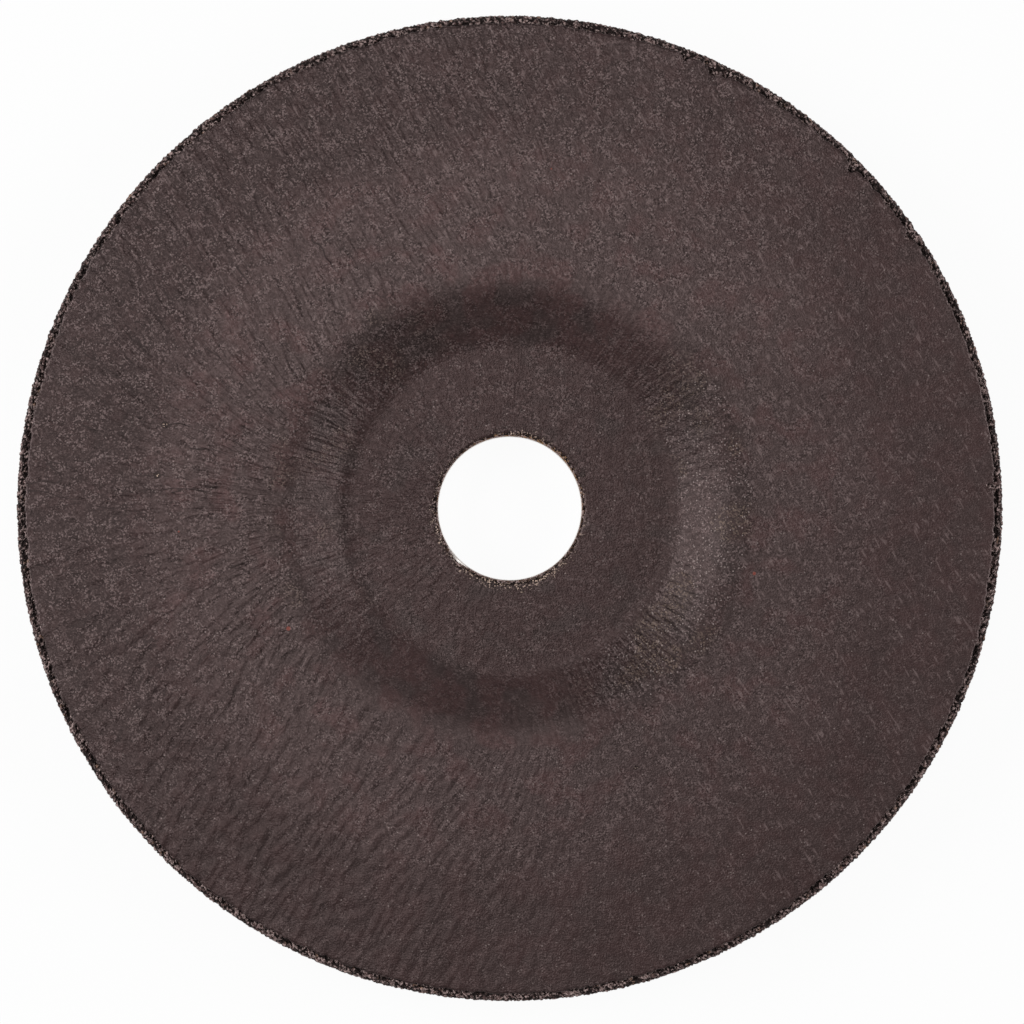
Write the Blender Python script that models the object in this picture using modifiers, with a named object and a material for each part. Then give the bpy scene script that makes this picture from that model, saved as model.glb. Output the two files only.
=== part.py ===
# Depressed-centre grinding disc: a wheel of bonded abrasive with a dished hub and a pressed steel
# bush in its bore. Metres, +Z up. The origin is on the bore's axis at the back of the hub, and +Z
# points to the hollow grinding side.
import math

import bmesh
import bpy

# The wheel
OUTER_DIAMETER = 0.151
BODY_THICKNESS = 0.006
BORE_DIAMETER = 0.02223

# The dished hub. Both sides of the wall share the fillets' centres, so the wall keeps its thickness.
DISH_DEPTH = 0.0046
HUB_FLAT_DIAMETER = 0.0486
CONE_ANGLE = math.radians(29)
HUB_FILLET = 0.0058
SHOULDER_FILLET = 0.0020

# The rim: a fused skin on each face stops short of the edge, where bare grit rounds over
SKIN = 0.00035
GRIT_BAND = 0.0014
RIM_ROUND = 0.0010

# The bush: a collar in the bore with a flange let into the back of the hub
BUSH_SHEET = 0.0005
BUSH_BEND = 0.0003
BUSH_FLANGE_WIDTH = 0.0054
BUSH_GAP = 0.0003

# The lip of abrasive that covers the collar's end on the grinding side
LIP_HEIGHT = 0.0010
LIP_ROUND = 0.0003

# The chip broken out of the lip, which bares the collar's end
CHIP_DIRECTION = math.radians(224)
CHIP_DEPTH = 0.0006
CHIP_WIDTH = 0.0078
CHIP_SIDES = 10

# How finely round stretches are drawn
TURN_STEPS = 96
FILLET_STEPS = 6
SMALL_ROUND_STEPS = 4
SMOOTH_ANGLE = math.radians(30)

outer_radius = OUTER_DIAMETER / 2
bore_radius = BORE_DIAMETER / 2
hub_front = BODY_THICKNESS
rim_front = DISH_DEPTH + BODY_THICKNESS
collar_outer_radius = bore_radius + BUSH_SHEET
collar_top = hub_front - LIP_HEIGHT - BUSH_GAP
flange_radius = bore_radius + BUSH_FLANGE_WIDTH


def arc(center, radius, start, end, steps):
    """Points (radius from the axis, height) along an arc, both ends included."""
    points = []
    for step in range(steps + 1):
        angle = start + (end - start) * step / steps
        points.append((center[0] + radius * math.cos(angle), center[1] + radius * math.sin(angle)))
    return points


def shoulder_radius():
    """Distance from the axis at which the dished slope ends and the flat grinding face starts."""
    fillets = HUB_FILLET + BODY_THICKNESS + SHOULDER_FILLET
    rise_in_fillets = fillets * (1 - math.cos(CONE_ANGLE))
    slope = (DISH_DEPTH - rise_in_fillets) / math.sin(CONE_ANGLE)
    return HUB_FLAT_DIAMETER / 2 + fillets * math.sin(CONE_ANGLE) + slope * math.cos(CONE_ANGLE)


def dish_side(offset):
    """One side of the dished slope, from the hub outwards. The offset is 0 on the grinding side and
    the wall's thickness on the back."""
    hub_center = (HUB_FLAT_DIAMETER / 2, hub_front + HUB_FILLET)
    shoulder_center = (shoulder_radius(), DISH_DEPTH - SHOULDER_FILLET)
    foot = -math.pi / 2
    crest = math.pi / 2
    shoulder = SHOULDER_FILLET + BODY_THICKNESS - offset
    hub_arc = arc(hub_center, HUB_FILLET + offset, foot, foot + CONE_ANGLE, FILLET_STEPS)
    shoulder_arc = arc(shoulder_center, shoulder, crest + CONE_ANGLE, crest, FILLET_STEPS)
    return hub_arc + shoulder_arc


def rim():
    """The rim from the grinding side to the back: skin edge, bare grit, rounded corners."""
    skin_radius = outer_radius - GRIT_BAND
    round_radius = outer_radius - RIM_ROUND
    front_grit = rim_front - SKIN
    back_grit = DISH_DEPTH + SKIN
    upper = arc((round_radius, front_grit - RIM_ROUND), RIM_ROUND, math.pi / 2, 0, SMALL_ROUND_STEPS)
    lower = arc((round_radius, back_grit + RIM_ROUND), RIM_ROUND, 0, -math.pi / 2, SMALL_ROUND_STEPS)
    skin_front = [(skin_radius, rim_front), (skin_radius, front_grit)]
    skin_back = [(skin_radius, back_grit), (skin_radius, DISH_DEPTH)]
    return skin_front + upper + lower + skin_back


def bore_wall():
    """The bore from the back to the grinding side: flange recess, collar bore, lip."""
    recess_radius = flange_radius + BUSH_GAP
    recess_top = BUSH_SHEET + BUSH_GAP
    wall_radius = collar_outer_radius + BUSH_GAP
    lip_foot = hub_front - LIP_HEIGHT
    recess = [(recess_radius, 0), (recess_radius, recess_top), (wall_radius, recess_top)]
    lip = [(wall_radius, lip_foot), (bore_radius, lip_foot)]
    lip_center = (bore_radius + LIP_ROUND, hub_front - LIP_ROUND)
    return recess + lip + arc(lip_center, LIP_ROUND, math.pi, math.pi / 2, SMALL_ROUND_STEPS)


def abrasive_profile():
    """Half section of the wheel, from the rim down its outer side and round by the bore."""
    back_side = list(reversed(dish_side(BODY_THICKNESS)))
    return rim() + back_side + bore_wall() + dish_side(0)


def bush_profile():
    """Half section of the bush: a sheet bent from a flange into a collar."""
    bend = (collar_outer_radius + BUSH_BEND, BUSH_SHEET + BUSH_BEND)
    flange = [(flange_radius, BUSH_SHEET), (flange_radius, 0)]
    left = -math.pi
    down = -math.pi / 2
    outside = arc(bend, BUSH_SHEET + BUSH_BEND, down, left, SMALL_ROUND_STEPS)
    collar = [(bore_radius, collar_top), (collar_outer_radius, collar_top)]
    inside = arc(bend, BUSH_BEND, left, down, SMALL_ROUND_STEPS)
    return flange + outside + collar + inside


def new_collection(name):
    collection = bpy.data.collections.new(name)
    bpy.context.scene.collection.children.link(collection)
    return collection


def new_material(name, color, roughness, metallic):
    material = bpy.data.materials.new(name)
    material.use_nodes = True
    shader = material.node_tree.nodes["Principled BSDF"]
    shader.inputs["Base Color"].default_value = (*color, 1)
    shader.inputs["Roughness"].default_value = roughness
    shader.inputs["Metallic"].default_value = metallic
    return material


def turned(name, profile, material, collection):
    """A solid of revolution about the Z axis from a closed half section."""
    mesh = bpy.data.meshes.new(name)
    shape = bmesh.new()
    corners = [shape.verts.new((radius, 0, height)) for radius, height in profile]
    for corner, following in zip(corners, corners[1:] + corners[:1]):
        shape.edges.new((corner, following))
    shape.to_mesh(mesh)
    shape.free()
    mesh.materials.append(material)
    part = bpy.data.objects.new(name, mesh)
    collection.objects.link(part)
    turn = part.modifiers.new("Turn", "SCREW")
    turn.steps = TURN_STEPS
    turn.render_steps = TURN_STEPS
    turn.use_merge_vertices = True
    turn.merge_threshold = 0.00001
    return part


def set_in_mesh(part):
    """Applies the part's modifiers to its mesh and shades its round faces smooth."""
    evaluated = part.evaluated_get(bpy.context.evaluated_depsgraph_get())
    mesh = bpy.data.meshes.new_from_object(evaluated)
    mesh.name = part.name
    part.modifiers.clear()
    part.data = mesh
    mesh.shade_smooth()
    mesh.set_sharp_from_angle(angle=SMOOTH_ANGLE)


def chip_cutter(collection):
    """A blunt many-sided prism with one corner pointing away from the axis, through the lip alone."""
    chip_radius = CHIP_WIDTH / 2
    center_radius = bore_radius + CHIP_DEPTH - chip_radius
    bottom = hub_front - LIP_HEIGHT - BUSH_GAP / 2
    height = 2 * LIP_HEIGHT
    mesh = bpy.data.meshes.new("lip_chip")
    shape = bmesh.new()
    bmesh.ops.create_cone(
        shape,
        cap_ends=True,
        segments=CHIP_SIDES,
        radius1=chip_radius,
        radius2=chip_radius,
        depth=height,
    )
    # create_cone sets its first corner on +Y
    for corner in shape.verts:
        corner.co.z += bottom + height / 2
    shape.to_mesh(mesh)
    shape.free()
    cutter = bpy.data.objects.new("lip_chip", mesh)
    cutter.location.x = center_radius * math.cos(CHIP_DIRECTION)
    cutter.location.y = center_radius * math.sin(CHIP_DIRECTION)
    cutter.rotation_euler.z = CHIP_DIRECTION - math.pi / 2
    cutter.hide_render = True
    cutter.display_type = "WIRE"
    collection.objects.link(cutter)
    return cutter


def cut(part, cutter):
    modifier = part.modifiers.new(cutter.name, "BOOLEAN")
    modifier.operation = "DIFFERENCE"
    modifier.solver = "EXACT"
    modifier.object = cutter


def make_abrasive_body(parts, cutters):
    grit = new_material("dark_brown_abrasive", (0.067, 0.046, 0.044), 0.75, 0.0)
    body = turned("abrasive_body", abrasive_profile(), grit, parts)
    cut(body, chip_cutter(cutters))
    return body


def make_bore_ring(parts):
    steel = new_material("tinned_steel", (0.72, 0.68, 0.66), 0.35, 1.0)
    return turned("bore_ring", bush_profile(), steel, parts)


for leftover in list(bpy.data.objects):
    bpy.data.objects.remove(leftover, do_unlink=True)

disc_parts = new_collection("grinding_disc")
disc_cutters = new_collection("cutters")
made = [make_abrasive_body(disc_parts, disc_cutters), make_bore_ring(disc_parts)]
bpy.context.view_layer.update()
for made_part in made:
    set_in_mesh(made_part)
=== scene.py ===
"""A depressed-centre grinding disc lying on its back, seen from above its hollow grinding side."""

import math

import bmesh
import bpy
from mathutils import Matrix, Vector, noise


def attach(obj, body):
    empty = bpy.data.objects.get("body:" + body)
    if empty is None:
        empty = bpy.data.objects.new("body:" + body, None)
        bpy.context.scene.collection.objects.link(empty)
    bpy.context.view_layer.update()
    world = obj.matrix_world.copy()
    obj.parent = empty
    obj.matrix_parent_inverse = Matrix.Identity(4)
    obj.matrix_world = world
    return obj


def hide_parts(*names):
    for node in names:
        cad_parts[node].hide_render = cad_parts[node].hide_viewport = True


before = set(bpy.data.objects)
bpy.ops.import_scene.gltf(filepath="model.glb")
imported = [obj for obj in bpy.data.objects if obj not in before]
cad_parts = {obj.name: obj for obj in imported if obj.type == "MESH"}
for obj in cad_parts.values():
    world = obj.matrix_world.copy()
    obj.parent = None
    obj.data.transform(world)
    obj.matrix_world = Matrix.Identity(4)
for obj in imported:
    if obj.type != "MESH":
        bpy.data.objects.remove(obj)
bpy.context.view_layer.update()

MM = 0.001

# The grinding-side skin.
# Felt-like paper, pressed on the grit in the mould and cured with it. It follows the dished hub,
# stops short of rim and bore with a torn edge, and is drawn into wrinkles that run out from the hub.
RIM_RADIUS = 75.5
BORE_RADIUS = 11.115
WALL = 6.0
DISH_DEPTH = 4.6
HUB_FLAT_RADIUS = 24.3
CONE_ANGLE = math.radians(29)
HUB_FILLET = 5.8
SHOULDER_FILLET = 2.0
SKIN = 0.35
SKIN_EDGE_RADIUS = 74.1
SKIN_BORE_RADIUS = BORE_RADIUS + 0.4
SKIN_EDGE_ROUND = 0.12
HIDDEN_GAP = 0.05
HIDDEN_STEP = 1.5
TEAR_REACH = 5.0
MERGE_DISTANCE = 0.001

FILLETS = HUB_FILLET + WALL + SHOULDER_FILLET
SLOPE_RISE = DISH_DEPTH - FILLETS * (1 - math.cos(CONE_ANGLE))
SLOPE_RUN = SLOPE_RISE / math.tan(CONE_ANGLE)
SHOULDER_RADIUS = HUB_FLAT_RADIUS + FILLETS * math.sin(CONE_ANGLE) + SLOPE_RUN

# The chip in the bore's lip, with one corner pointing away from the axis
CHIP_DIRECTION = math.radians(224)
CHIP_REACH = BORE_RADIUS + 0.6
CHIP_RADIUS = 3.9
CHIP_CORNER_ANGLE = math.radians(36)

# Where the skin's edge is knocked off the rim: direction, half width and depth
SKIN_NICKS = (
    (68.7, 0.7, 0.8),
    (65.0, 1.2, 1.1),
    (63.5, 0.7, 0.7),
    (44.8, 0.9, 0.9),
    (34.3, 0.8, 0.9),
    (2.7, 0.6, 1.3),
)

# How far the wrinkles lean off the radius, as a slope, and the radius at which none has turned yet
LEAN = 0.42
LEAN_RADIUS = 52.0
LEAN_START = -0.34


def smooth_step(value, low, high):
    share = min(max((value - low) / (high - low), 0), 1)
    return share * share * (3 - 2 * share)


def dish_height(radius, depth):
    """Height of the surface that lies a depth under the grinding face, in millimetres."""
    hub_round = HUB_FILLET + depth
    shoulder_round = FILLETS - hub_round
    hub_end = HUB_FLAT_RADIUS + hub_round * math.sin(CONE_ANGLE)
    shoulder_start = SHOULDER_RADIUS - shoulder_round * math.sin(CONE_ANGLE)
    hub_center = WALL + HUB_FILLET
    shoulder_center = DISH_DEPTH - SHOULDER_FILLET
    if radius <= HUB_FLAT_RADIUS:
        return hub_center - hub_round
    if radius <= hub_end:
        return hub_center - math.sqrt(hub_round**2 - (radius - HUB_FLAT_RADIUS) ** 2)
    if radius <= shoulder_start:
        slope_foot = hub_center - hub_round * math.cos(CONE_ANGLE)
        return slope_foot + (radius - hub_end) * math.tan(CONE_ANGLE)
    if radius <= SHOULDER_RADIUS:
        return shoulder_center + math.sqrt(shoulder_round**2 - (radius - SHOULDER_RADIUS) ** 2)
    return shoulder_center + shoulder_round


def turn_difference(direction, other):
    return (direction - other + math.pi) % (2 * math.pi) - math.pi


def chip_outline(direction):
    """Distance from the axis to the chip's two straight sides."""
    away = abs(turn_difference(direction, CHIP_DIRECTION))
    center = CHIP_REACH - CHIP_RADIUS
    corner = Vector((CHIP_REACH, 0))
    side_end_x = center + CHIP_RADIUS * math.cos(CHIP_CORNER_ANGLE)
    side_end = Vector((side_end_x, CHIP_RADIUS * math.sin(CHIP_CORNER_ANGLE)))
    if away > math.atan2(side_end.y, side_end.x):
        return 0
    side = side_end - corner
    ray = Vector((math.cos(away), math.sin(away)))
    return corner.cross(side) / ray.cross(side)


def lean(up):
    """How far the wrinkles lean off the radius, as a slope, from the sine of their direction."""
    return LEAN * up * (4 * up * up - 3)


def radial_noise(x, y, width, length, seed):
    """Noise whose grain is drawn out along the radius, on a cylinder about as wide as the place."""
    radius = math.hypot(x, y)
    turn = -lean(y / radius) * max(math.log(radius / LEAN_RADIUS), LEAN_START)
    sine, cosine = math.sin(turn), math.cos(turn)
    x, y = x * cosine - y * sine, x * sine + y * cosine
    inner = smooth_step(radius, 38, 28)
    value = 0
    for cylinder, share in ((52, 1 - inner), (22, inner)):
        if share > 0:
            across = cylinder / radius / width
            place = Vector((x * across, y * across, radius / length + seed))
            value += share * noise.noise(place)
    return value


def torn_edge(direction, seed):
    """How far the skin's torn edge lies inside its mean radius."""
    around = Vector((math.cos(direction), math.sin(direction), seed)) * SKIN_EDGE_RADIUS
    ragged = 0.30 * noise.noise(around / 0.7) + 0.24 * noise.noise(around / 2.4)
    return 0.12 - ragged - 0.25 * noise.noise(around / 11)


def nick_depth(direction, nicks):
    deepest = 0
    for degrees, half_width, depth in nicks:
        away = abs(turn_difference(direction, math.radians(degrees))) * SKIN_EDGE_RADIUS
        deepest = max(deepest, depth * (1 - smooth_step(away, 0.35 * half_width, half_width)))
    return deepest


def turned(shape, section, sectors):
    """Rolls a grid round the axis over a chain of (radius, height) points.

    A chain that ends where it starts makes a closed ring. Returns the vertices and the border rings
    at the chain's first and last point.
    """
    rows = len(section) - 1
    grid = bmesh.ops.create_grid(shape, x_segments=sectors, y_segments=rows, size=1)["verts"]
    first, last = set(), set()
    for vertex in grid:
        turn = math.pi * (vertex.co.x + 1)
        row = round((vertex.co.y + 1) / 2 * rows)
        if row == 0:
            first.add(vertex)
        if row == rows:
            last.add(vertex)
        radius, height = section[row]
        vertex.co = (radius * math.cos(turn), radius * math.sin(turn), height)
    border = [vertex for vertex in grid if vertex.is_boundary]
    bmesh.ops.remove_doubles(shape, verts=border, dist=MERGE_DISTANCE)
    return [vertex for vertex in grid if vertex.is_valid], ring(first), ring(last)


def ring(row):
    """The border edges that join the vertices of one row."""
    kept = {vertex for vertex in row if vertex.is_valid}
    edges = {edge for vertex in kept for edge in vertex.link_edges if edge.is_boundary}
    return [edge for edge in edges if kept.issuperset(edge.verts)]


def spaced(start, end, step):
    """Evenly spaced values from start to end, both included, about a step apart."""
    count = max(1, round(abs(end - start) / step))
    return [start + (end - start) * index / count for index in range(count + 1)]


def finished(shape, name, body, smooth=True):
    """Makes a closed bmesh in millimetres into a piece in metres that rides on a body."""
    bmesh.ops.recalc_face_normals(shape, faces=shape.faces)
    bmesh.ops.scale(shape, vec=(MM, MM, MM), verts=shape.verts)
    for face in shape.faces:
        face.smooth = smooth
    mesh = bpy.data.meshes.new(name)
    shape.to_mesh(mesh)
    shape.free()
    piece = bpy.data.objects.new(name, mesh)
    bpy.context.scene.collection.objects.link(piece)
    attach(piece, body)
    return piece


def front_relief(x, y):
    """How far the grinding face lies under its highest level, in millimetres.

    Each kind of wave has a depth and a size in millimetres, and a last number that sets it apart.
    """
    radius = math.hypot(x, y)
    direction = math.atan2(y, x)
    left = max(0, math.cos(direction - math.pi))
    lower_left = max(0, math.cos(direction - math.radians(205)))
    slope = smooth_step(radius, 24, 27) * smooth_step(radius, 38, 35)
    sway = 0.030 * noise.noise(Vector((x / 11, y / 11, 3.1)))
    ripple = 0.005 * radial_noise(x, y, 1.1, 4.5, 1.7)
    pebbles = (0.010 + 0.030 * lower_left) * noise.noise(Vector((x / 1.8, y / 1.8, 9.4)))
    ridge = 1 - abs(radial_noise(x, y, 2.2, 7, 5.3)) * 5
    creases = (0.012 + 0.03 * left + 0.04 * slope + 0.05 * left * slope) * max(0, ridge) ** 2
    return 0.07 + sway + ripple + pebbles + creases


def skin_shell(zones, depth, seed, nicks, relief):
    """One face's skin as a closed shell. A zone is (first radius, last radius, step, sectors)."""
    inward = -1 if depth == 0 else 1
    under_depth = depth - inward * SKIN
    shape = bmesh.new()
    surface = []
    rings = []
    for first, last, step, sectors in zones:
        section = [(radius, dish_height(radius, depth)) for radius in spaced(first, last, step)]
        vertices, inner_ring, outer_ring = turned(shape, section, sectors)
        surface += vertices
        rings += [inner_ring, outer_ring]
    bore_radius, *_, bore_sectors = zones[0]
    _, outer_radius, _, outer_sectors = zones[-1]
    edge_radius = outer_radius + SKIN_EDGE_ROUND
    edge_height = dish_height(edge_radius, depth)
    edge_section = [
        (edge_radius, edge_height + inward * SKIN_EDGE_ROUND),
        (edge_radius, edge_height + inward * SKIN),
    ]
    edge, edge_top, edge_foot = turned(shape, edge_section, outer_sectors)
    under_radii = [bore_radius] + spaced(HUB_FLAT_RADIUS, SHOULDER_RADIUS, HIDDEN_STEP)
    under_radii += [edge_radius - TEAR_REACH - 1]
    under_section = [(radius, dish_height(radius, under_depth)) for radius in under_radii]
    under, under_inner, under_outer = turned(shape, under_section, bore_sectors)
    rings += [edge_top, edge_foot, under_outer, under_inner]
    for one, other in zip(rings[1::2], rings[2::2]):
        bmesh.ops.bridge_loops(shape, edges=one + other)
    bmesh.ops.bridge_loops(shape, edges=rings[0] + rings[-1])
    foot_height = edge_height + inward * SKIN
    for vertex in surface + edge:
        place = vertex.co
        radius = math.hypot(place.x, place.y)
        at_edge_foot = abs(place.z - foot_height) <= SKIN / 10 and radius >= edge_radius - SKIN
        if not at_edge_foot:
            place.z += inward * relief(place.x, place.y)
        near_edge = smooth_step(radius, edge_radius - TEAR_REACH, edge_radius - SKIN_EDGE_ROUND)
        if near_edge > 0:
            direction = math.atan2(place.y, place.x)
            pull = near_edge * (torn_edge(direction, seed) + nick_depth(direction, nicks))
            place.xy *= 1 - pull / radius
    return shape, surface + under


CLEARING_REACH = SKIN_BORE_RADIUS + 2.5
CHIP_MARGIN = 0.25


def cleared_of_chip(vertices):
    """Draws the skin's ragged edge back from the chip in the bore's lip."""
    for vertex in vertices:
        radius = math.hypot(vertex.co.x, vertex.co.y)
        direction = math.atan2(vertex.co.y, vertex.co.x)
        around = Vector((math.cos(direction), math.sin(direction), 0.5)) * BORE_RADIUS
        ragged = 0.30 * noise.noise(around / 0.6) + 0.35 * noise.noise(around / 2.5)
        start = max(SKIN_BORE_RADIUS, chip_outline(direction) + CHIP_MARGIN)
        start += max(ragged, -CHIP_MARGIN)
        if radius < CLEARING_REACH:
            share = (radius - SKIN_BORE_RADIUS) / (CLEARING_REACH - SKIN_BORE_RADIUS)
            moved = start + (CLEARING_REACH - start) * share
            vertex.co.x *= moved / radius
            vertex.co.y *= moved / radius


# Rings of faces, finest where the skin is most wrinkled and at its torn edge
FRONT_ZONES = (
    (SKIN_BORE_RADIUS, 36.3, 0.51, 540),
    (36.9, 71.5, 0.75, 1080),
    (71.9, SKIN_EDGE_RADIUS - SKIN_EDGE_ROUND, 0.3, 1620),
)
front_shape, front_vertices = skin_shell(FRONT_ZONES, 0, 0.3, SKIN_NICKS, front_relief)
cleared_of_chip(front_vertices)
front_skin = finished(front_shape, "grinding_side_skin", "root")
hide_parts("abrasive_body")


class Wire:
    """One output of a node. Arithmetic on it adds Math nodes to the same material."""

    def __init__(self, finish, socket):
        self.finish = finish
        self.socket = socket

    def other(self, name):
        """Another output of the same node."""
        return Wire(self.finish, self.socket.node.outputs[name])

    def math(self, operation, first, second=0.0):
        values = {0: first, 1: second}
        return self.finish.node("ShaderNodeMath", {"operation": operation}, values)

    def __add__(self, other):
        return self.math("ADD", self, other)

    def __sub__(self, other):
        return self.math("SUBTRACT", self, other)

    def __mul__(self, other):
        return self.math("MULTIPLY", self, other)

    def __truediv__(self, other):
        return self.math("DIVIDE", self, other)

    def __pow__(self, other):
        return self.math("POWER", self, other)

    def __rpow__(self, other):
        return self.math("POWER", other, self)

    def __abs__(self):
        return self.math("ABSOLUTE", self)

    def __rsub__(self, other):
        return self.math("SUBTRACT", other, self)

    def __rtruediv__(self, other):
        return self.math("DIVIDE", other, self)

    __radd__ = __add__
    __rmul__ = __mul__


GRAIN_FAN_RADIUS = 40.0


class Finish:
    """A material under construction: node() adds any node, and the rest are short forms of it."""

    def __init__(self, name):
        self.material = bpy.data.materials.new(name)
        self.material.use_nodes = True
        self.tree = self.material.node_tree
        self.shader = self.tree.nodes["Principled BSDF"]
        place = self.node("ShaderNodeTexCoord", {}, {}, "Object")
        self.place = self.vector("SCALE", place, scale=1 / MM)
        self.x = self.node("ShaderNodeSeparateXYZ", {}, {0: self.place}, "X")
        self.y = self.x.other("Y")
        self.radius = (self.x * self.x + self.y * self.y) ** 0.5

    def node(self, kind, settings, values, output=0):
        made = self.tree.nodes.new(kind)
        for name, value in settings.items():
            setattr(made, name, value)
        for name, value in values.items():
            if isinstance(value, Wire):
                self.tree.links.new(value.socket, made.inputs[name])
            else:
                made.inputs[name].default_value = value
        return Wire(self, made.outputs[output])

    def vector(self, operation, first, second=None, scale=None):
        values = {0: first}
        if second is not None:
            values[1] = second
        if scale is not None:
            values["Scale"] = scale
        return self.node("ShaderNodeVectorMath", {"operation": operation}, values)

    def step(self, value, low, high):
        """0 below low, 1 above high and smooth between, or the other way round if low is higher."""
        values = {"Value": value, "From Min": low, "From Max": high}
        return self.node("ShaderNodeMapRange", {"interpolation_type": "SMOOTHSTEP"}, values)

    def noise(self, size, detail=1.0, seed=0.0, place=None):
        """Noise of about 0 to 1 with features of a size in millimetres."""
        moved = self.vector("ADD", place or self.place, (0, 0, seed * size))
        values = {"Vector": moved, "Scale": 1 / size, "Detail": detail}
        return self.node("ShaderNodeTexNoise", {}, values, "Fac")

    def fan(self):
        """The place turned about the axis by as much as the wrinkles there lean off the radius."""
        spread = self.radius / LEAN_RADIUS
        spread = spread.math("LOGARITHM", spread, math.e)
        spread = spread.math("MAXIMUM", spread, LEAN_START)
        values = {"Vector": self.place, "Angle": -1 * lean(self.y / self.radius) * spread}
        turned_place = self.node("ShaderNodeVectorRotate", {"rotation_type": "Z_AXIS"}, values)
        return self.node("ShaderNodeSeparateXYZ", {}, {0: turned_place}, "X")

    def radial_noise(self, fan, width, length, detail=1.0, seed=0.0):
        """Noise with its grain drawn out along the fan, of its true width at a middle radius."""
        across = GRAIN_FAN_RADIUS / self.radius
        values = {0: fan * across, 1: fan.other("Y") * across, 2: self.radius * (width / length)}
        place = self.node("ShaderNodeCombineXYZ", {}, values)
        return self.noise(width, detail, seed, place)

    def straight_noise(self, degrees, width, length, detail=0.0, seed=0.0):
        """Noise with its grain drawn out in one direction over the whole face."""
        values = {"Vector": self.place, "Rotation": (0, 0, math.radians(degrees))}
        values["Scale"] = (length / width, 1, 1)
        place = self.node("ShaderNodeMapping", {"vector_type": "TEXTURE"}, values)
        return self.noise(width, detail, seed, place)

    def toward(self, degrees):
        """1 straight towards a direction from the axis, 0 square to it and -1 away from it."""
        turn = math.radians(degrees)
        return (self.x * math.cos(turn) + self.y * math.sin(turn)) / self.radius

    def side(self, degrees, low, high):
        """The side that lies in a direction, from 0 to 1, as toward() goes from low to high."""
        return self.step(self.toward(degrees), low, high)

    def grains(self, size, seed=0.0):
        """Distance to the nearest grain's middle, in grain sizes, and that grain's own value."""
        moved = self.vector("ADD", self.place, (seed, seed, seed))
        values = {"Vector": moved, "Scale": 1 / size}
        distance = self.node("ShaderNodeTexVoronoi", {}, values, "Distance")
        return distance, self.node("ShaderNodeSeparateColor", {}, {0: distance.other("Color")})

    def mixed(self, share, first, second):
        """A color between two others. 6, 7 and 2 are the Mix node's color sockets."""
        values = {0: share, 6: first, 7: second}
        return self.node("ShaderNodeMix", {"data_type": "RGBA"}, values, 2)

    def set(self, socket, value):
        target = self.shader.inputs[socket]
        if isinstance(value, Wire):
            self.tree.links.new(value.socket, target)
        else:
            target.default_value = value

    def bump(self, height):
        """Height is in millimetres."""
        values = {"Height": height, "Distance": MM, "Strength": 1.0}
        self.set("Normal", self.node("ShaderNodeBump", {}, values))


SKIN_WARM = (0.0492, 0.0274, 0.0267, 1)
SKIN_COOL = (0.0416, 0.0286, 0.0276, 1)
SKIN_DARK_AND_SHADE = (0.0080, 0.0055, 0.0052, 1)
SKIN_PALE_AND_HIGHLIGHT = (0.162, 0.119, 0.116, 1)
PAINTED_GLINT = (0.46, 0.38, 0.36, 1)
GOLDEN_GLINT = (0.175, 0.128, 0.100, 1)
CRUMB = (0.62, 0.46, 0.37, 1)
RUSTY = (0.22, 0.050, 0.034, 1)
SKIN_SHEEN = (0.85, 0.64, 0.62, 1)
SKIN_GLOSS = 0.465
SKIN_ROUGHNESS = 0.36

CREASE_HALF_WIDTH = 0.24
FLATTENED = 10000
DRIFT_SCALE = 0.6
DRIFT_REACH = 0.7

# The plainest creases: distance from the axis, direction, length and slant to the radius in degrees
CREASES = (
    (18.3, 147, 3.8, -82),
    (29.0, 9, 6.2, 21),
    (29.6, 167, 6.8, -12),
    (30.0, 154, 6.2, -3),
    (30.7, -32, 6.8, 6),
    (31.4, -25, 4.2, 9),
    (32.7, -34, 4.2, 2),
    (32.7, -49, 3.2, -3),
    (40.9, -147, 3.5, 2),
    (42.1, -135, 2.5, 4),
    (48.0, 169, 5.0, 2),
    (48.3, 126, 9.0, -2),
    (50.0, -154, 3.0, 20),
    (52.8, 166, 7.4, 14),
    (54.1, 139, 6.3, -9),
    (54.3, 175, 5.0, 4),
    (57.2, 132, 2.5, -34),
    (70.9, 143, 2.5, -16),
)

# Grains that have pushed through the skin: distance from the axis, direction and radius
BEADS = ((12.3, 25, 0.30), (54.1, 166.4, 0.42), (54.0, 174.6, 0.40), (44.0, -64, 0.26))
RUSTY_GRAINS = ((38.4, -151.5, 0.32), (38.6, -14.9, 0.26), (50.6, 184, 0.15), (52.2, 83, 0.15))


def creased(finish, place):
    """1 in the middle of each of the plainest creases, which taper off to 0 at their ends."""
    total = 0.0
    for distance, direction, length, slant in CREASES:
        turn = math.radians(direction)
        values = {"Vector": place, "Rotation": (0, 0, turn + math.radians(slant))}
        values["Location"] = (distance * math.cos(turn), distance * math.sin(turn), 0)
        values["Scale"] = (0.6 * length, CREASE_HALF_WIDTH, FLATTENED)
        along = finish.node("ShaderNodeMapping", {"vector_type": "TEXTURE"}, values)
        settings = {"gradient_type": "SPHERICAL"}
        total = total + finish.node("ShaderNodeTexGradient", settings, {0: along}, "Fac")
    return finish.step(total, 0.05, 0.65)


def beaded(finish, beads):
    """How near a place is to a bead, from 1 in its middle to 0 at two radii."""
    total = 0.0
    for distance, direction, size in beads:
        turn = math.radians(direction)
        height = dish_height(distance, 0)
        center = (distance * math.cos(turn), distance * math.sin(turn), height)
        values = {0: finish.place, 1: center}
        away = finish.node("ShaderNodeVectorMath", {"operation": "DISTANCE"}, values, 1)
        total = total + finish.step(away, 2 * size, 0.0)
    return total


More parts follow.
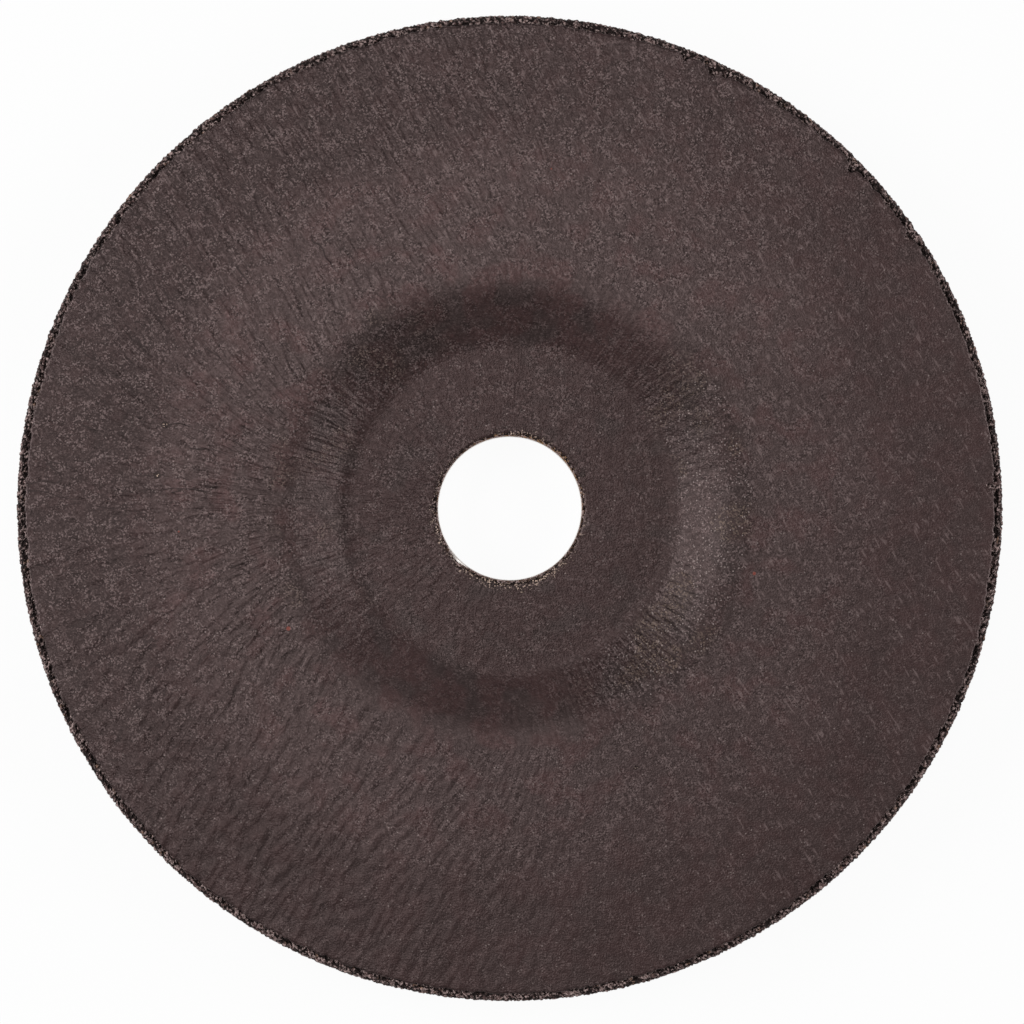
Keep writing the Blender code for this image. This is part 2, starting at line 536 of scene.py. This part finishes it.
class Places:
    """Shares from 0 to 1 for the regions of a face, by radius in millimetres and by direction."""

    def __init__(self, finish):
        radius = finish.radius
        self.hub = finish.step(radius, 28, 24)
        self.slope = finish.step(radius, 24.5, 27.5) * finish.step(radius, 38, 35.5)
        self.ring = finish.step(radius, 31.5, 37.5)
        self.inner_ring = self.ring * finish.step(radius, 61, 51)
        self.outer_ring = self.ring - self.inner_ring
        self.left = finish.side(180, 0.3, 0.9)
        self.upper_left = finish.side(138, 0.3, 0.9)
        lower_left = finish.side(195, -0.2, 0.9)

        # The slope where it faces one of the two lamps, and the rest of it
        facing = finish.toward(-12)
        facing_lamp = finish.step(facing, 0.35, 0.85) + 0.55 * finish.step(facing, -0.35, -0.85)
        self.lit_slope = self.slope * facing_lamp
        self.shaded_slope = self.slope - self.lit_slope

        # Where the felt is combed, drawn into ridges, stroked with pale hairlines of painted
        # highlight and pressed smoother
        self.combed = (0.15 + 0.85 * self.upper_left) * (1 - 0.75 * self.hub - 0.55 * self.slope)
        ridged = 0.12 + 0.88 * lower_left + (0.3 - 0.8 * lower_left) * self.slope
        self.ridged = ridged * (1 - 0.75 * self.hub)
        self.stroked = self.ring * (1 - finish.side(222, 0.0, 0.6))
        self.smoother = (0.28 + 0.32 * self.outer_ring) * finish.side(-50, -0.4, 0.3)


class Felt:
    """The felt's patterns, from 0 to 1: evenly spread ones, ones along the fan and its tufts."""

    def __init__(self, finish):
        self.fine = finish.noise(0.27, 0.0, 1.0)
        self.fuzz = finish.noise(0.55, 1.0, 4.0)
        self.lumps = finish.noise(1.5, 1.0, 14.0)
        self.clumps = finish.step(finish.noise(1.7, 0.0, 21.0), 0.38, 0.62)
        self.clouds = finish.noise(5.0, 1.0, 7.0)
        self.sparse = finish.noise(6.0, 0.0, 17.0)
        self.patches = finish.noise(12.0, 0.0, 2.0)
        self.strokes = finish.straight_noise(121, 0.38, 2.2, 0.0, 61.0)
        fan = finish.fan()
        self.combs = finish.radial_noise(fan, 0.45, 3.6, 0.0, 9.0)
        self.lines = finish.radial_noise(fan, 0.55, 1.3, 0.0, 31.0)
        self.ridges = finish.radial_noise(fan, 0.85, 2.6, 0.0, 51.0)
        self.folds = finish.radial_noise(fan, 1.5, 10.0, 1.0, 12.0)
        self.rings = finish.radial_noise(fan, 5.0, 0.5, 0.0, 41.0)
        self.tuft_distance, self.tuft = finish.grains(0.21, 5.0)


def dyed_and_painted_light(finish, at, felt):
    """The color of the resin in the paper, warmer or cooler and darker or lighter by place, and on
    the outer ring lighter towards the right. Painted light and shade are mixed into it: the ring is
    painted lighter towards the upper left, and the slope is painted darker where it faces a lamp,
    lighter where it faces away and lighter again at the left.
    """
    pinker = 0.11 * at.hub * (1 + 0.4 * finish.toward(90))
    pinker = pinker - 0.065 * at.ring * finish.step(finish.radius, 64, 52)
    warmth = finish.step(felt.clouds + pinker + 0.05 * at.slope, 0.40, 0.60)
    warmth = 0.5 + (1 - 0.5 * finish.step(finish.radius, 40, 58)) * (warmth - 0.5)
    tone = 1.6 ** (felt.lumps - 0.5)
    tone = tone * 2 ** (at.combed * (felt.combs - 0.5)) * 2 ** (at.ridged * (felt.ridges - 0.5))
    tone = tone * 5.5 ** ((0.60 + 0.6 * felt.clumps) * (1 - at.smoother) * (felt.fuzz - 0.5))
    tone = tone * 1.5 ** (at.stroked * (felt.strokes - 0.5))
    tone = tone * (0.75 + 0.38 * at.inner_ring) * (0.85 + 0.3 * felt.patches)
    # Painted light: the ring is lighter towards the upper left.
    tone = tone * (1 + 0.10 * at.ring * finish.toward(120))
    tone = tone * (1 + 0.36 * at.outer_ring * finish.toward(-24))
    # The hub is darker; on the slope, painted shade where it faces a lamp and painted light where it
    # faces away.
    tone = tone * (1 - 0.22 * at.hub) * (1 - 0.38 * at.lit_slope + 0.14 * at.shaded_slope)
    # Painted light: the slope is lighter again at the left.
    tone = tone * (1 + 0.32 * at.slope * finish.side(178, 0.75, 0.97))
    return finish.vector("SCALE", finish.mixed(warmth, SKIN_COOL, SKIN_WARM), scale=tone)


def napped(finish, at, felt, wear_and_glints, base):
    """Dark pits and pale tufts in the nap, pale hairlines, and dark lines down the lit slope. The
    pits are partly dark resin and partly painted shade, and the tufts partly pale fibres and partly
    painted highlights, with more of both where the slope faces a lamp and less where it faces away;
    there the pale tufts turn golden as painted glints. The hairlines are painted highlights along
    fine wrinkles, and the lines down the lit slope are painted shade.
    """
    rough = (0.26 + 0.54 * felt.clumps) * (1 - at.smoother)
    rough = rough * (1 - 0.5 * at.shaded_slope - 0.15 * at.hub)
    # Pits: dark resin and painted shade, more of it where the slope faces a lamp
    pits = finish.step(felt.tuft, 0.45, 0.05) * (rough + 0.38 * at.lit_slope)
    base = finish.mixed(pits, base, SKIN_DARK_AND_SHADE)
    # Tufts: pale fibres and painted highlights, turned golden as painted glints where the slope
    # faces a lamp
    pale = finish.mixed(finish.step(felt.sparse, 0.52, 0.62) * at.lit_slope, SKIN_PALE_AND_HIGHLIGHT, GOLDEN_GLINT)
    tufts = finish.step(felt.tuft, 0.55, 0.95) * (rough * (1 - 0.2 * at.hub) + 0.20 * at.lit_slope)
    base = finish.mixed(tufts, base, pale)
    # Pale hairlines: painted highlights along fine wrinkles
    hairline_highlight = finish.step(felt.strokes, 0.65, 0.74) * finish.step(felt.lumps, 0.46, 0.60)
    base = finish.mixed(hairline_highlight * at.stroked * wear_and_glints * 0.5, base, SKIN_PALE_AND_HIGHLIGHT)
    # Dark lines down the lit slope: painted shade
    return finish.mixed(finish.step(felt.lines, 0.46, 0.34) * 0.28 * at.lit_slope, base, SKIN_DARK_AND_SHADE)


def creases(finish, at, felt, wear_and_glints):
    """Fine creases, most of them at the left, painted as dark lines of shade, and scratches round
    the upper right of the bore, painted as dark arcs.
    """
    crease = finish.step(abs(felt.folds - 0.5), 0.013, 0.0)
    crease = crease * finish.step(felt.sparse + 0.05 * at.left, 0.50, 0.62) * wear_and_glints
    crease = crease * (0.2 + 0.6 * at.left + 0.3 * at.upper_left)
    scratch = finish.step(abs(felt.rings - 0.5), 0.05, 0.0) * finish.step(finish.radius, 15.5, 13.5)
    return crease + 0.8 * scratch * finish.side(48, 0.55, 0.85) * wear_and_glints


def drifted(finish):
    """The place, moved a little to and fro, so that what is drawn on it wavers."""
    values = {0: finish.place, "Scale": DRIFT_SCALE, "Detail": 0.0}
    drift = finish.node("ShaderNodeTexNoise", {}, values, "Color")
    moved = finish.vector("ADD", finish.vector("SCALE", drift, scale=2 * DRIFT_REACH), finish.place)
    return finish.vector("SUBTRACT", moved, (DRIFT_REACH, DRIFT_REACH, DRIFT_REACH))


def crumbled(finish, felt, wear_and_glints, base):
    """The border by the bore, where the skin wears away over crumbs of grit, widest below."""
    below = finish.side(-75, -0.7, 0.5)
    ragged = finish.radius + 3.0 * (felt.fuzz + felt.patches) - 0.9 * below
    crumbs = finish.mixed(finish.step(felt.tuft, 0.50, 0.85), SKIN_DARK_AND_SHADE, CRUMB)
    # Near-black between the crumbs: dark resin and painted shade in the gaps
    crumbs = finish.mixed(finish.step(felt.tuft_distance, 0.45, 0.70), crumbs, SKIN_DARK_AND_SHADE)
    return finish.mixed(finish.step(ragged, 14.8, 13.6) * wear_and_glints * 0.85, base, crumbs)


def studded(finish, felt, base):
    """The grains that have pushed through: dark with split pale crumbs, or rusty."""
    bead = beaded(finish, BEADS)
    base = finish.mixed(finish.step(bead * (0.4 + 1.2 * felt.fuzz), 0.12, 0.28), base, SKIN_DARK_AND_SHADE)
    split = finish.step(bead, 0.50, 0.70) * finish.step(felt.tuft, 0.45, 0.55)
    split = split * finish.step(felt.tuft_distance, 0.60, 0.40)
    base = finish.mixed(split * 0.8, base, CRUMB)
    rust = finish.step(beaded(finish, RUSTY_GRAINS), 0.35, 0.60)
    return finish.mixed(rust * 0.8, base, RUSTY)


def skin_finish(name, wear_and_glints):
    """Felt-like paper soaked in resin.

    Its second argument scales the creases, pale hairlines and specks, and only a full 1 adds the
    plainest creases and the grains that have pushed through. The creases are painted as dark lines
    of shade, and the hairlines and specks as painted highlights and glints.
    """
    finish = Finish(name)
    at = Places(finish)
    felt = Felt(finish)
    crease = creases(finish, at, felt, wear_and_glints)
    if wear_and_glints == 1:
        crease = crease + creased(finish, drifted(finish))
    # Specks are painted glints: more where the slope faces a lamp, fewer where it faces away, and a
    # little glossier
    distance, own = finish.grains(0.45)
    often = 0.93 - 0.15 * felt.clumps - 0.30 * at.lit_slope
    glint = finish.step(distance, 0.36, 0.10) * finish.step(own - often, 0.0, 0.16)
    glint = glint * (1 - 0.9 * at.shaded_slope) * wear_and_glints
    base = napped(finish, at, felt, wear_and_glints, dyed_and_painted_light(finish, at, felt))
    # Creases painted as near-black lines: painted shade
    base = finish.mixed(crease * 0.9, base, SKIN_DARK_AND_SHADE)
    base = finish.mixed(glint * (0.35 + 0.20 * at.lit_slope), base, PAINTED_GLINT)
    base = crumbled(finish, felt, wear_and_glints, base)
    if wear_and_glints == 1:
        base = studded(finish, felt, base)
    finish.set("Base Color", base)
    finish.set("Specular Tint", SKIN_SHEEN)
    finish.set("Specular IOR Level", SKIN_GLOSS)
    roughness = SKIN_ROUGHNESS + 0.10 * at.slope - 0.25 * (felt.fuzz - 0.5) - 0.08 * glint
    finish.set("Roughness", roughness)
    relief = 0.05 * felt.fine + 0.08 * felt.lumps
    finish.bump(relief + 0.15 * at.combed * felt.combs + 0.25 * at.ridged * felt.ridges)
    return finish.material


front_skin.data.materials.append(skin_finish("grinding_side_felt", 1.0))

# The plain back skin.
# The same felt-like paper on the side that faces the grinder. The photo doesn't show this side, so
# it is finished plainly, with a flatter grain and an untouched edge.
BACK_SKIN_BORE_RADIUS = 17.3
BACK_WEAR_AND_GLINTS = 0.4
BACK_ZONES = (
    (BACK_SKIN_BORE_RADIUS, 36.3, 0.6, 480),
    (36.9, 71.5, 0.9, 960),
    (71.8, SKIN_EDGE_RADIUS - SKIN_EDGE_ROUND, 0.35, 1920),
)


def back_relief(x, y):
    """How far the back lies inside its lowest level. Only the hub's flat is left quite level."""
    sway = 0.020 * noise.noise(Vector((x / 13, y / 13, 8.1)))
    ripple = 0.008 * radial_noise(x, y, 1.4, 4.5, 6.7)
    return 0.03 + sway + ripple


back_shape, back_vertices = skin_shell(BACK_ZONES, WALL, 0.8, (), back_relief)
back_skin = finished(back_shape, "back_skin", "root")
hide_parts("abrasive_body")
back_skin.data.materials.append(skin_finish("back_felt", BACK_WEAR_AND_GLINTS))

# The bonded grit.
# The body of the wheel: crushed grit in dark resin. It shows where the skins stop, as the coarse
# rounded rim and as a narrow border round the bore, where one chip is broken out of the lip.
GRAIN = 0.62
GRAIN_RELIEF = 0.36
BORE_GRAIN = 0.42
BORE_GRAIN_RELIEF = 0.16
RIM_ROUND = 1.0
RIM_SECTORS = 1900
BORE_SECTORS = 420
RIM_STEP = 0.25
BORE_STEP = 0.2
LIP_STEP = 0.12
BORDER_STEP = 0.14
BAND_START = SKIN_EDGE_RADIUS - 1.7
LIP_HEIGHT = 1.0
LIP_ROUND = 0.3
BORDER_DROP = 0.14
BORDER_RADIUS = 12.1
TUCKED_RADIUS = 12.4
TUCKED_END_RADIUS = 13.0
LIP_MIDDLE_RADIUS = 11.5
COLLAR_BORE_RADIUS = 11.915
FLANGE_RECESS_RADIUS = 16.815
FLANGE_RECESS_DEPTH = 0.8
RECESS_RIM_HEIGHT = 0.03
CREVICE = 0.22


def rounded(center_radius, center_height, size, start, end, step):
    """Points along an arc of a section, from one angle to another in degrees, both included."""
    points = []
    for degrees in spaced(start, end, math.degrees(step / size)):
        angle = math.radians(degrees)
        points.append(
            (center_radius + size * math.cos(angle), center_height + size * math.sin(angle))
        )
    return points


def rim_section():
    """From under the grinding-side skin, over the rim, to under the back skin."""
    front = DISH_DEPTH + WALL - SKIN
    back = DISH_DEPTH + SKIN
    round_radius = RIM_RADIUS - RIM_ROUND
    band = spaced(BAND_START, round_radius, RIM_STEP)[:-1]
    upper = rounded(round_radius, front - RIM_ROUND, RIM_ROUND, 90, 0, RIM_STEP)
    wall = spaced(front - RIM_ROUND, back + RIM_ROUND, RIM_STEP)[1:-1]
    lower = rounded(round_radius, back + RIM_ROUND, RIM_ROUND, 0, -90, RIM_STEP)
    over = [(radius, front) for radius in band] + upper
    outside = [(RIM_RADIUS, height) for height in wall]
    return over + outside + lower + [(radius, back) for radius in band[::-1]]


def bore_section():
    """From the rim's back, under the back skin, up the bore and over its lip, to the rim's front."""
    lip_foot = WALL - LIP_HEIGHT
    lip_top = WALL - BORDER_DROP
    slope = spaced(HUB_FLAT_RADIUS, SHOULDER_RADIUS, HIDDEN_STEP) + [BAND_START - 3]
    under_back = [(r, dish_height(r, WALL - SKIN - HIDDEN_GAP)) for r in slope[::-1]]
    under_front = [(r, dish_height(r, SKIN + HIDDEN_GAP)) for r in slope]
    recess = [
        (BACK_SKIN_BORE_RADIUS - HIDDEN_GAP, SKIN + HIDDEN_GAP),
        (BACK_SKIN_BORE_RADIUS - HIDDEN_GAP, RECESS_RIM_HEIGHT),
        (FLANGE_RECESS_RADIUS, RECESS_RIM_HEIGHT),
        (FLANGE_RECESS_RADIUS, FLANGE_RECESS_DEPTH),
        (COLLAR_BORE_RADIUS, FLANGE_RECESS_DEPTH),
    ]
    lip = [(radius, lip_foot) for radius in (COLLAR_BORE_RADIUS, LIP_MIDDLE_RADIUS, BORE_RADIUS)]
    wall_heights = spaced(lip_foot, lip_top - LIP_ROUND, BORE_STEP)[1:-1]
    wall = [(BORE_RADIUS, height) for height in wall_heights]
    edge = rounded(BORE_RADIUS + LIP_ROUND, lip_top - LIP_ROUND, LIP_ROUND, 180, 90, LIP_STEP)
    border_radii = spaced(BORE_RADIUS + LIP_ROUND, BORDER_RADIUS, BORDER_STEP)[1:]
    border = [(radius, lip_top) for radius in border_radii]
    tucked_height = WALL - SKIN - HIDDEN_GAP
    tucked = [(TUCKED_RADIUS, tucked_height), (TUCKED_END_RADIUS, tucked_height)]
    return under_back + recess + lip + wall + edge + border + tucked + under_front


def grain_hollow(place, size):
    """0 on top of a grain and 1 in the gaps, with a height of its own for each grain."""
    distances, centers = noise.voronoi(place / size)
    gap = smooth_step(distances[1] - distances[0], 0.45, 0.0)
    own = 0.5 + 0.5 * noise.cell(centers[0] * 7.3)
    crown = min(1, distances[0] * distances[0] * 1.3)
    return min(1, 0.55 * gap + 0.25 * crown + 0.38 * own)


grit_shape = bmesh.new()
hollow = grit_shape.verts.layers.float.new("hollow")
rim_vertices, rim_front, rim_back = turned(grit_shape, rim_section(), RIM_SECTORS)
bore_vertices, bore_back, bore_front = turned(grit_shape, bore_section(), BORE_SECTORS)
bmesh.ops.bridge_loops(grit_shape, edges=bore_front + rim_front)
bmesh.ops.bridge_loops(grit_shape, edges=bore_back + rim_back)
bmesh.ops.recalc_face_normals(grit_shape, faces=grit_shape.faces)
grit_shape.normal_update()


def roughen_rim():
    """Raises the rim's grains. Their tops stay on the wheel's true form, and the gaps sink in."""
    bare = [(vertex, vertex.normal.copy()) for vertex in rim_vertices]
    for vertex, outward in bare:
        place = vertex.co.copy()
        radius = math.hypot(place.x, place.y)
        shown = smooth_step(radius, BAND_START, BAND_START + 0.8)
        low = grain_hollow(place, GRAIN)
        beside_skin = smooth_step(radius, RIM_RADIUS - 0.7, RIM_RADIUS - 1.5)
        jitter = noise.noise_vector(place / 0.21) * 0.05 * shown
        jitter -= outward * jitter.dot(outward)
        sink = (GRAIN_RELIEF * low + CREVICE * beside_skin) * shown + HIDDEN_GAP * (1 - shown)
        vertex.co = place + jitter - outward * sink
        vertex[hollow] = low * shown


def roughen_bore():
    """Roughens the border round the bore a little and breaks the chip out of the lip."""
    bare = [(vertex, vertex.normal.copy()) for vertex in bore_vertices]
    for vertex, outward in bare:
        place = vertex.co.copy()
        radius = math.hypot(place.x, place.y)
        if place.z < WALL - LIP_HEIGHT - 0.1 or radius > TUCKED_END_RADIUS + 1:
            continue
        low = grain_hollow(place, BORE_GRAIN)
        border = smooth_step(outward.z, 0.1, 0.9)
        border *= smooth_step(radius, TUCKED_RADIUS, BORDER_RADIUS - 0.1)
        vertex.co = place - outward * BORE_GRAIN_RELIEF * low * border
        vertex[hollow] = low * border
        chipped = chip_outline(math.atan2(place.y, place.x))
        chipped += 0.1 * noise.noise(place / 0.5)
        at_lip_foot = place.z < WALL - LIP_HEIGHT + 0.05
        reach = COLLAR_BORE_RADIUS if at_lip_foot else TUCKED_END_RADIUS - 0.1
        if chipped > BORE_RADIUS and radius < reach:
            share = (radius - BORE_RADIUS) / (reach - BORE_RADIUS)
            moved = chipped + (reach - chipped) * share
            vertex.co.x *= moved / radius
            vertex.co.y *= moved / radius


# The grains' jitter comes from a random state, which is set here, so that every run gives one rim
noise.seed_set(1)
roughen_rim()
roughen_bore()
grit = finished(grit_shape, "bonded_grit", "root", smooth=False)
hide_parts("abrasive_body")

RESIN_AND_SHADE = (0.0040, 0.0026, 0.0024, 1)
GRIT_BROWN = (0.115, 0.072, 0.068, 1)
GRIT_PALE = (0.48, 0.36, 0.34, 1)
GRIT_GOLD = (0.33, 0.19, 0.10, 1)


def grit_finish():
    """Crystals of crushed grit, some pale and a few golden, with dark resin between them. The gaps
    are painted near-black by their depth, as dark resin and painted shade.
    """
    finish = Finish("resin_bonded_grit")
    distance, own = finish.grains(0.5, 3.0)
    chip_distance, chip_own = finish.grains(0.27, 11.0)
    low = finish.node("ShaderNodeAttribute", {"attribute_name": "hollow"}, {}, "Fac")
    fine = finish.noise(0.22, 2.0, 5.0)
    by_bore = finish.step(finish.radius, 14.0, 13.0)
    base = finish.mixed(finish.step(own, 0.15, 0.85), RESIN_AND_SHADE, GRIT_BROWN)
    base = finish.mixed(finish.step(chip_own, 0.40, 0.85) * 0.80, base, GRIT_PALE)
    upper_right = 0.25 + 0.75 * finish.step(finish.toward(60), 0.2, 0.8)
    golden = finish.step(own, 0.95, 0.98) * 0.35
    golden = golden + by_bore * upper_right * finish.step(chip_own, 0.65, 0.35) * 0.8
    base = finish.mixed(golden, base, GRIT_GOLD)
    # Painted shade: the deepest gaps between grains are painted near-black, over the dark resin
    base = finish.mixed(finish.step(low, 0.45, 0.80), base, RESIN_AND_SHADE)
    finish.set("Base Color", base)
    finish.set("Specular Tint", SKIN_SHEEN)
    finish.set("Specular IOR Level", 0.35)
    finish.set("Roughness", 0.50 + 0.3 * fine)
    finish.bump(0.12 * fine - 0.20 * distance - 0.14 * chip_distance)
    return finish.material


grit.data.materials.append(grit_finish())

# The steel bush.
# A ring pressed from tinned sheet, with its flange let into the back of the hub and its collar in
# the bore. Only the end of the collar shows from above, in the chip in the lip.
BUSH_SHEET = 0.5
BUSH_BEND = 0.3
FLANGE_RADIUS = 16.515
COLLAR_TOP = 4.7
BUSH_SECTORS = 240
SHEAR_ROUND = 0.08


def bush_section():
    """Round the sheet: the flange's edge, the outside of the bend, the collar's end, the inside."""
    bend_radius = BORE_RADIUS + BUSH_SHEET + BUSH_BEND
    bend_height = BUSH_SHEET + BUSH_BEND
    collar_radius = BORE_RADIUS + BUSH_SHEET
    outside = rounded(bend_radius, bend_height, bend_height, -90, -180, 0.15)
    inside = rounded(bend_radius, bend_height, BUSH_BEND, -180, -90, 0.1)
    flange = [
        (FLANGE_RADIUS - SHEAR_ROUND, BUSH_SHEET),
        (FLANGE_RADIUS, BUSH_SHEET - SHEAR_ROUND),
        (FLANGE_RADIUS, SHEAR_ROUND),
        (FLANGE_RADIUS - SHEAR_ROUND, 0),
    ]
    collar = [
        (BORE_RADIUS, COLLAR_TOP - SHEAR_ROUND),
        (BORE_RADIUS + SHEAR_ROUND, COLLAR_TOP),
        (collar_radius - SHEAR_ROUND, COLLAR_TOP),
        (collar_radius, COLLAR_TOP - SHEAR_ROUND),
    ]
    return flange + outside + collar + inside


bush_shape = bmesh.new()
bush_points = bush_section()
turned(bush_shape, bush_points + bush_points[:1], BUSH_SECTORS)
bush = finished(bush_shape, "steel_bush", "root")
bush.data.set_sharp_from_angle(angle=math.radians(35))
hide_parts("bore_ring")


TIN = (0.80, 0.76, 0.73, 1)
DULL_TIN = (0.45, 0.39, 0.35, 1)


def bush_finish():
    """Tin plate: fine turned lines, faint stains and a dull rub here and there."""
    finish = Finish("tinned_sheet")
    rings = finish.node("ShaderNodeCombineXYZ", {}, {0: finish.radius})
    lines = finish.noise(0.05, 0.0, 1.0, rings)
    stains = finish.noise(1.8, 3.0, 6.0)
    rub = finish.noise(0.5, 2.0, 8.0)
    dulled = finish.step(stains, 0.45, 0.75)
    finish.set("Base Color", finish.mixed(dulled * 0.6, TIN, DULL_TIN))
    finish.set("Metallic", 1.0)
    finish.set("Roughness", 0.28 + 0.25 * dulled + 0.12 * rub)
    finish.bump(0.004 * lines + 0.004 * rub)
    return finish.material


bush.data.materials.append(bush_finish())

# The studio.
# A plain white table, one soft light overhead and one on each side, and a camera that looks
# straight down with the disc a little left of and above the middle of its frame.
TABLE_SIZE = 12.0
TABLE_GAP = 0.0002
TABLE_WHITE = (0.82, 0.82, 0.82, 1)
TABLE_GLOW = 0.94
ROOM_GLOW = 0.10
PHOTO_SIDE = 1024
PHOTO_DISC_X = 509.7
PHOTO_DISC_Y = 508.4
PHOTO_DISC_RADIUS = 492.7
DISC_OUTLINE_RADIUS = 75.38
OUTLINE_HEIGHT = 9.2
LENS = 100.0
SENSOR = 36.0


def table_finish():
    """White to the camera and to reflections, and lit by the lamps for the rest, for its shadow."""
    finish = Finish("white_table")
    finish.set("Base Color", TABLE_WHITE)
    finish.set("Roughness", 0.9)
    path = finish.node("ShaderNodeLightPath", {}, {}, "Is Camera Ray")
    seen = path + path.other("Is Glossy Ray") + path.other("Is Transmission Ray")
    seen = seen.math("MINIMUM", seen, 1.0)
    glow = finish.node("ShaderNodeEmission", {}, {"Color": (1, 1, 1, 1), "Strength": 1.0})
    lit = Wire(finish, finish.shader.outputs["BSDF"])
    blend = finish.node("ShaderNodeMixShader", {}, {0: seen * TABLE_GLOW, 1: lit, 2: glow})
    finish.tree.links.new(blend.socket, finish.tree.nodes["Material Output"].inputs["Surface"])
    return finish.material


table_shape = bmesh.new()
bmesh.ops.create_grid(table_shape, x_segments=1, y_segments=1, size=TABLE_SIZE / 2)
bmesh.ops.translate(table_shape, vec=(0, 0, -TABLE_GAP), verts=table_shape.verts)
table_mesh = bpy.data.meshes.new("table")
table_shape.to_mesh(table_mesh)
table_shape.free()
table = bpy.data.objects.new("table", table_mesh)
bpy.context.scene.collection.objects.link(table)
table_mesh.materials.append(table_finish())


def soft_light(name, azimuth, elevation, distance, width, height, power):
    """An area light that faces the disc. Azimuth runs anticlockwise from +X, in degrees."""
    data = bpy.data.lights.new(name, "AREA")
    data.shape = "RECTANGLE"
    data.size = width
    data.size_y = height
    data.energy = power
    light = bpy.data.objects.new(name, data)
    turn, lift = math.radians(azimuth), math.radians(elevation)
    flat = distance * math.cos(lift)
    toward = Vector((flat * math.cos(turn), flat * math.sin(turn), distance * math.sin(lift)))
    light.location = toward
    light.rotation_euler = toward.to_track_quat("Z", "Y").to_euler()
    light.visible_camera = False
    bpy.context.scene.collection.objects.link(light)


# Name, azimuth, elevation, distance, width, height and power
SOFTBOXES = (
    ("left_softbox", 172, 34, 0.62, 0.46, 0.30, 2.9),
    ("right_softbox", 2, 27, 0.70, 0.50, 0.32, 2.95),
    ("overhead_softbox", 150, 82, 0.80, 0.60, 0.26, 1.4),
)
for softbox in SOFTBOXES:
    soft_light(*softbox)

world = bpy.data.worlds.new("pale_room")
world.use_nodes = True
world.node_tree.nodes["Background"].inputs["Color"].default_value = (1, 1, 1, 1)
world.node_tree.nodes["Background"].inputs["Strength"].default_value = ROOM_GLOW
bpy.context.scene.world = world

pixel = DISC_OUTLINE_RADIUS * MM / PHOTO_DISC_RADIUS
camera_data = bpy.data.cameras.new("overhead_camera")
camera_data.lens = LENS
camera_data.sensor_width = SENSOR
camera_data.clip_start = 0.01
camera = bpy.data.objects.new("overhead_camera", camera_data)
camera.location = (
    (PHOTO_SIDE / 2 - PHOTO_DISC_X) * pixel,
    (PHOTO_DISC_Y - PHOTO_SIDE / 2) * pixel,
    OUTLINE_HEIGHT * MM + PHOTO_SIDE * pixel * LENS / SENSOR,
)
bpy.context.scene.collection.objects.link(camera)
bpy.context.scene.camera = camera
bpy.context.scene.view_settings.view_transform = "Standard"
